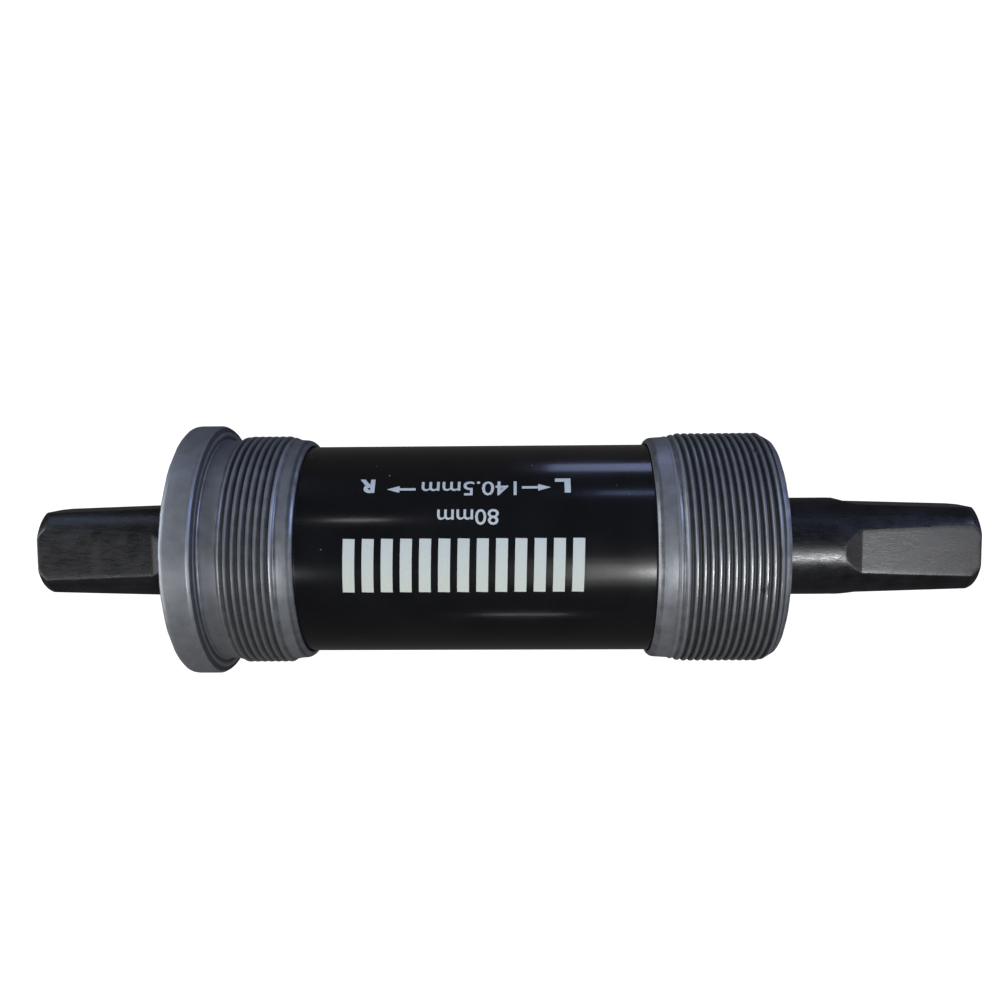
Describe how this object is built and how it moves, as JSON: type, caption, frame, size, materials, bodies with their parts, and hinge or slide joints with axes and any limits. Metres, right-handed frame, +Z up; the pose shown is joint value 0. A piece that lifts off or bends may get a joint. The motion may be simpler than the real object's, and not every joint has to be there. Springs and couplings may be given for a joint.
{
  "type": "bottom bracket",
  "caption": "Sealed cartridge bottom bracket: a long spindle with square tapered ends turns in a smooth sleeve between a flanged threaded cup and a plain threaded cup.",
  "frame": {"origin": "on the spindle axis, at the middle of the 80 mm wide frame shell that the cups screw into", "axes": "+Y along the spindle towards the left side of the bicycle (the flanged drive cup is at -Y), +X forwards, +Z up"},
  "size_m": [0.0382, 0.1405, 0.0382],
  "materials": {
    "cup_grey_steel": "satin grey plated steel",
    "sleeve_black": "gloss black painted steel tube with a pale printed marking",
    "spindle_black_oxide": "black oxide on ground steel",
    "bearing_steel": "ground bearing steel",
    "ball_chrome": "polished",
    "cage_steel": "pressed steel",
    "seal_rubber": "matte black",
    "spring_steel": "blued spring steel",
    "spacer_steel": "drawn steel tube"
  },
  "bodies": {
    "cartridge": {"cartridge_sleeve": "sleeve_black", "drive_cup": "cup_grey_steel", "drive_outer_race": "bearing_steel", "left_outer_race": "bearing_steel", "drive_bearing_outer_seal": "seal_rubber", "drive_bearing_inner_seal": "seal_rubber", "left_bearing_outer_seal": "seal_rubber", "left_bearing_inner_seal": "seal_rubber", "bearing_spacer_tube": "spacer_steel", "drive_dust_seal": "seal_rubber", "wave_washer": "spring_steel"},
    "spindle": {"spindle": "spindle_black_oxide", "drive_inner_race": "bearing_steel", "left_inner_race": "bearing_steel", "drive_circlip": "spring_steel", "left_circlip": "spring_steel"},
    "drive_ball_train": {"drive_ball_cage": "cage_steel", "drive_ball_01": "ball_chrome", "drive_ball_02": "ball_chrome", "drive_ball_03": "ball_chrome", "drive_ball_04": "ball_chrome", "drive_ball_05": "ball_chrome", "drive_ball_06": "ball_chrome", "drive_ball_07": "ball_chrome", "drive_ball_08": "ball_chrome", "drive_ball_09": "ball_chrome", "drive_ball_10": "ball_chrome", "drive_ball_11": "ball_chrome"},
    "left_ball_train": {"left_ball_cage": "cage_steel", "left_ball_01": "ball_chrome", "left_ball_02": "ball_chrome", "left_ball_03": "ball_chrome", "left_ball_04": "ball_chrome", "left_ball_05": "ball_chrome", "left_ball_06": "ball_chrome", "left_ball_07": "ball_chrome", "left_ball_08": "ball_chrome", "left_ball_09": "ball_chrome", "left_ball_10": "ball_chrome", "left_ball_11": "ball_chrome"},
    "left_seal": {"left_dust_seal": "seal_rubber"},
    "left_cup": {"left_cup": "cup_grey_steel"}
  },
  "joints": [
    {"name": "spindle_spin", "type": "hinge", "parent": "cartridge", "child": "spindle", "pos_m": [0, 0, 0], "axis": [0, 1, 0], "continuous": true},
    {"name": "drive_ball_orbit", "type": "hinge", "parent": "cartridge", "child": "drive_ball_train", "pos_m": [0, -0.0317, 0], "axis": [0, 1, 0], "continuous": true},
    {"name": "left_ball_orbit", "type": "hinge", "parent": "cartridge", "child": "left_ball_train", "pos_m": [0, 0.0291, 0], "axis": [0, 1, 0], "continuous": true},
    {"name": "left_cup_slide", "type": "slide", "parent": "cartridge", "child": "left_seal", "axis": [0, 1, 0], "range_m": [0, 0.055]},
    {"name": "left_cup_turn", "type": "hinge", "parent": "left_seal", "child": "left_cup", "pos_m": [0, 0.036, 0], "axis": [0, 1, 0], "continuous": true}
  ],
  "couplings": [
    {"joint": "drive_ball_orbit", "follows": "spindle_spin", "ratio": 0.41555},
    {"joint": "left_ball_orbit", "follows": "spindle_spin", "ratio": 0.41555}
  ]
}
